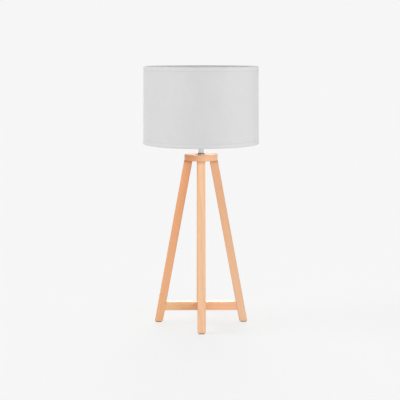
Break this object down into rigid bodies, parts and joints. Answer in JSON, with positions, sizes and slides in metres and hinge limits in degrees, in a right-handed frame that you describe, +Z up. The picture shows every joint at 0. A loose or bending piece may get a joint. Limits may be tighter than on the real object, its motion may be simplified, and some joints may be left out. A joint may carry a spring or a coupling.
{
  "type": "tripod table lamp",
  "caption": "Wooden stand of splayed square legs with a cross stretcher and a round top, carrying a screw lampholder and a grey fabric drum shade.",
  "frame": {"origin": "centre of the foot ring, on the surface the lamp stands on", "axes": "+Z up along the lamp's axis, -Y towards the front leg, +X to the viewer's right"},
  "size_m": [0.25, 0.25, 0.562],
  "materials": {
    "beech": "satin clear lacquer on steamed beech, long straight grain with short dark flecks",
    "dowel_wood": "unfinished turned beech",
    "felt": "dense dark brown felt",
    "zinc_steel": "bright zinc plate",
    "chrome": "polished chrome plate",
    "white_plastic": "white moulded thermoplastic, fine eggshell sheen",
    "holder_insulation": "glazed off-white insulator",
    "brass": "bare brass",
    "nickel": "nickel plate",
    "shade_cloth": "light grey plain-weave cotton and polyester, matt",
    "shade_lining": "white self-adhesive styrene sheet",
    "trim_tape": "the shade's own light grey cloth, folded over the rim",
    "white_wire": "white powder coat on steel wire",
    "black_glaze": "black fused insulator",
    "bulb_plastic": "white thermal plastic",
    "light_plate": "white coated aluminium",
    "bulb_opal": "opal polycarbonate, satin"
  },
  "bodies": {
    "stand": {"leg_front": "beech", "leg_back": "beech", "leg_left": "beech", "leg_right": "beech", "top_disc": "beech", "stretcher_side_to_side": "beech", "stretcher_front_to_back": "beech", "leg_dowels": "dowel_wood", "stretcher_dowels": "dowel_wood", "foot_pads": "felt", "leg_screws": "zinc_steel", "threaded_tube": "zinc_steel", "neck_flange": "chrome", "neck_sleeve": "chrome", "lower_washer": "zinc_steel", "lower_nut": "zinc_steel", "cord_bushing": "white_plastic", "holder_cap": "white_plastic", "lock_screw": "white_plastic", "holder_shell": "white_plastic", "holder_insert": "holder_insulation", "terminal_screws": "brass", "threaded_contact": "nickel", "centre_contact": "brass"},
    "shade": {"shade_fabric": "shade_cloth", "shade_liner": "shade_lining", "top_trim_tape": "trim_tape", "bottom_trim_tape": "trim_tape", "top_ring": "white_wire", "bottom_ring": "white_wire", "fitter_arms": "white_wire", "fitter_ring": "white_wire"},
    "clamp_ring": {"shade_ring": "white_plastic"},
    "bulb": {"bulb_screw_cap": "nickel", "bulb_insulator": "black_glaze", "bulb_end_contact": "nickel", "bulb_body": "bulb_plastic", "bulb_light_plate": "light_plate", "bulb_diffuser": "bulb_opal"}
  },
  "joints": [
    {"name": "shade_lift", "type": "slide", "parent": "stand", "child": "shade", "axis": [0, 0, 1], "range_m": [0, 0.15]},
    {"name": "clamp_ring_turn", "type": "hinge", "parent": "shade", "child": "clamp_ring", "pos_m": [0, 0, 0.4205], "axis": [0, 0, 1], "continuous": true},
    {"name": "bulb_out", "type": "slide", "parent": "stand", "child": "bulb", "axis": [0, 0, 1], "range_m": [0, 0.16]}
  ]
}
